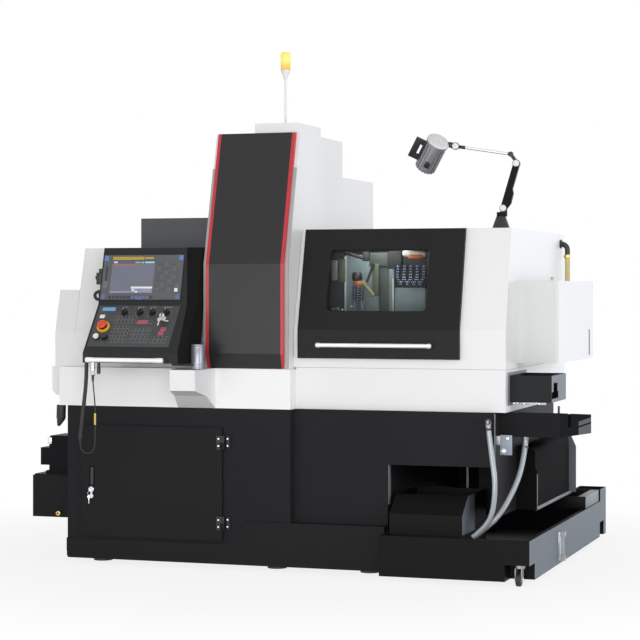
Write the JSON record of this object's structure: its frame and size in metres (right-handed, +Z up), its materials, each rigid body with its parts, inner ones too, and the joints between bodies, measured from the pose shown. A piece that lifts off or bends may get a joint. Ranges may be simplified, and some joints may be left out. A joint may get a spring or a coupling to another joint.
{
  "type": "cnc turning lathe",
  "caption": "Enclosed turning lathe with a tall tool column, lift-up window door, swivelling operator panel, work lamp and a coolant tank that rolls out.",
  "frame": {"origin": "middle of the footprint, on the floor", "axes": "+X to the right along the front, +Y to the back, +Z up"},
  "size_m": [2.606, 2.027, 2.41],
  "materials": {
    "white_paint": "satin powder coat",
    "black_paint": "fine-texture powder coat",
    "cover_black": "satin powder coat",
    "dark_grey_paint": "fine-texture powder coat",
    "red_paint": "satin paint",
    "strip_grey": "matt",
    "steel": "brushed",
    "zinc": "zinc plated",
    "cast_iron": "painted casting",
    "tool_dark": "oiled",
    "panel_black": "fine-texture powder coat",
    "screen": "smooth bezel with dark glass",
    "knob_black": "moulded",
    "button_red": "moulded",
    "button_white": "moulded",
    "amber": "tinted lens",
    "pole_white": "satin",
    "window_glass": "clear",
    "clear_hose": "clear vinyl",
    "air_hose": "smooth",
    "cable_black": "matt jacket",
    "lamp_grey": "anodised",
    "lamp_black": "satin",
    "wheel_black": "matt tread",
    "foot_steel": "blackened"
  },
  "bodies": {
    "machine": {"base_cabinet": "black_paint", "base_skirt": "black_paint", "levelling_feet": "foot_steel", "left_apron": "white_paint", "right_apron": "white_paint", "column_shell": "white_paint", "column_cover": "cover_black", "red_trim": "red_paint", "side_strips": "strip_grey", "beacon_pole": "pole_white", "beacon_lens": "amber", "left_enclosure": "white_paint", "top_box": "dark_grey_paint", "right_enclosure": "white_paint", "side_box": "white_paint", "air_hose": "air_hose", "catcher_box": "dark_grey_paint", "chip_tray": "dark_grey_paint", "left_tank": "black_paint", "pump_motor": "lamp_black", "pivot_bracket": "white_paint", "machine_bed": "cast_iron", "lamp_base": "lamp_black", "drain_hoses": "clear_hose"},
    "cabinet_door": {"cabinet_door": "black_paint", "door_hinges": "lamp_black"},
    "cabinet_handle": {"cabinet_handle": "knob_black"},
    "lock_key": {"lock_key": "zinc"},
    "front_door": {"front_door": "cover_black", "door_window": "window_glass", "door_handle": "steel"},
    "panel": {"panel_housing": "panel_black", "panel_arm": "zinc", "panel_screen": "screen", "panel_handle": "steel", "pendant_cable": "cable_black"},
    "knob_1": {"knob_1": "knob_black"},
    "knob_2": {"knob_2": "knob_black"},
    "knob_3": {"knob_3": "knob_black"},
    "knob_4": {"knob_4": "knob_black"},
    "estop_button": {"estop_button": "button_red"},
    "white_button": {"white_button": "button_white"},
    "black_button": {"black_button": "knob_black"},
    "key_switch": {"key_switch": "zinc"},
    "lamp_fork": {"lamp_fork": "lamp_black"},
    "lamp_lower_arm": {"lamp_lower_arm": "lamp_black"},
    "lamp_upper_arm": {"lamp_upper_arm": "lamp_grey"},
    "lamp_head": {"lamp_head": "lamp_grey"},
    "headstock": {"headstock": "cast_iron"},
    "spindle": {"spindle": "steel"},
    "tool_slide": {"tool_slide": "tool_dark"},
    "tank": {"coolant_tank": "dark_grey_paint", "level_gauge": "steel", "rear_castor_forks": "zinc"},
    "castor_fork_1": {"castor_fork_1": "zinc"},
    "castor_fork_2": {"castor_fork_2": "zinc"},
    "castor_wheel_1": {"castor_wheel_1": "wheel_black"},
    "castor_wheel_2": {"castor_wheel_2": "wheel_black"},
    "castor_wheel_3": {"castor_wheel_3": "wheel_black"},
    "castor_wheel_4": {"castor_wheel_4": "wheel_black"}
  },
  "joints": [
    {"name": "cabinet_door_swing", "type": "hinge", "parent": "machine", "child": "cabinet_door", "pos_m": [-0.228, -0.7485, 0.4], "axis": [0, 0, 1], "range_deg": [0, 110]},
    {"name": "cabinet_handle_lift", "type": "hinge", "parent": "cabinet_door", "child": "cabinet_handle", "pos_m": [-0.889, -0.7335, 0.454], "axis": [-1, 0, 0], "range_deg": [0, 35]},
    {"name": "lock_key_turn", "type": "hinge", "parent": "cabinet_door", "child": "lock_key", "pos_m": [-0.889, -0.7425, 0.35], "axis": [0, 1, 0], "range_deg": [0, 90]},
    {"name": "front_door_lift", "type": "hinge", "parent": "machine", "child": "front_door", "pos_m": [0.486, -0.5288, 1.566], "axis": [-1, 0, 0], "range_deg": [0, 75]},
    {"name": "panel_swivel", "type": "hinge", "parent": "machine", "child": "panel", "pos_m": [-0.306, -0.8665, 0.98], "axis": [0, 0, 1], "range_deg": [0, 90]},
    {"name": "knob_1_turn", "type": "hinge", "parent": "panel", "child": "knob_1", "pos_m": [-0.68397, -0.82887, 1.1819], "axis": [0, -0.7886, 0.6149], "range_deg": [-150, 150]},
    {"name": "knob_2_turn", "type": "hinge", "parent": "panel", "child": "knob_2", "pos_m": [-0.60601, -0.82887, 1.1819], "axis": [0, -0.7886, 0.6149], "range_deg": [-150, 150]},
    {"name": "knob_3_turn", "type": "hinge", "parent": "panel", "child": "knob_3", "pos_m": [-0.54488, -0.82887, 1.1819], "axis": [0, -0.7886, 0.6149], "range_deg": [-150, 150]},
    {"name": "knob_4_turn", "type": "hinge", "parent": "panel", "child": "knob_4", "pos_m": [-0.47409, -0.82887, 1.1819], "axis": [0, -0.7886, 0.6149], "range_deg": [-150, 150]},
    {"name": "estop_press", "type": "slide", "parent": "panel", "child": "estop_button", "axis": [0, 0.7886, -0.6149], "range_m": [0, 0.006], "stiffness_N_per_m": 1200},
    {"name": "white_button_press", "type": "slide", "parent": "panel", "child": "white_button", "axis": [0, 0.7886, -0.6149], "range_m": [0, 0.004], "stiffness_N_per_m": 600},
    {"name": "black_button_press", "type": "slide", "parent": "panel", "child": "black_button", "axis": [0, 0.7886, -0.6149], "range_m": [0, 0.004], "stiffness_N_per_m": 600},
    {"name": "key_switch_turn", "type": "hinge", "parent": "panel", "child": "key_switch", "pos_m": [-0.47904, -0.85344, 1.1504], "axis": [0, -0.7886, 0.6149], "range_deg": [0, 90]},
    {"name": "lamp_swivel", "type": "hinge", "parent": "machine", "child": "lamp_fork", "pos_m": [0.978, -0.3265, 1.63], "axis": [0, 0, 1], "range_deg": [-170, 170]},
    {"name": "lamp_shoulder", "type": "hinge", "parent": "lamp_fork", "child": "lamp_lower_arm", "pos_m": [0.991, -0.3265, 1.662], "axis": [0, 1, 0], "range_deg": [-12, 25]},
    {"name": "lamp_elbow", "type": "hinge", "parent": "lamp_lower_arm", "child": "lamp_upper_arm", "pos_m": [1.052, -0.3265, 1.867], "axis": [0, 1, 0], "range_deg": [-18, 40]},
    {"name": "lamp_wrist", "type": "hinge", "parent": "lamp_upper_arm", "child": "lamp_head", "pos_m": [0.765, -0.3265, 1.952], "axis": [0, 1, 0], "range_deg": [-15, 45]},
    {"name": "headstock_slide", "type": "slide", "parent": "machine", "child": "headstock", "axis": [-1, 0, 0], "range_m": [0, 0.15]},
    {"name": "spindle_turn", "type": "hinge", "parent": "headstock", "child": "spindle", "pos_m": [-0.322, -0.0665, 1.13], "axis": [1, 0, 0], "continuous": true},
    {"name": "tool_slide_lift", "type": "slide", "parent": "machine", "child": "tool_slide", "axis": [0, 0, 1], "range_m": [0, 0.05]},
    {"name": "tank_roll", "type": "slide", "parent": "machine", "child": "tank", "axis": [0, -1, 0], "range_m": [0, 0.8]},
    {"name": "castor_1_swivel", "type": "hinge", "parent": "tank", "child": "castor_fork_1", "pos_m": [1.169, -0.7915, 0.06], "axis": [0, 0, 1], "continuous": true},
    {"name": "castor_2_swivel", "type": "hinge", "parent": "tank", "child": "castor_fork_2", "pos_m": [0.618, -0.2065, 0.06], "axis": [0, 0, 1], "continuous": true},
    {"name": "castor_1_roll", "type": "hinge", "parent": "castor_fork_1", "child": "castor_wheel_1", "pos_m": [1.169, -0.8075, 0.03], "axis": [1, 0, 0], "continuous": true},
    {"name": "castor_2_roll", "type": "hinge", "parent": "castor_fork_2", "child": "castor_wheel_2", "pos_m": [0.618, -0.2225, 0.03], "axis": [1, 0, 0], "continuous": true},
    {"name": "castor_3_roll", "type": "hinge", "parent": "tank", "child": "castor_wheel_3", "pos_m": [1.169, 0.8775, 0.03], "axis": [1, 0, 0], "continuous": true},
    {"name": "castor_4_roll", "type": "hinge", "parent": "tank", "child": "castor_wheel_4", "pos_m": [0.618, 0.8775, 0.03], "axis": [1, 0, 0], "continuous": true}
  ]
}
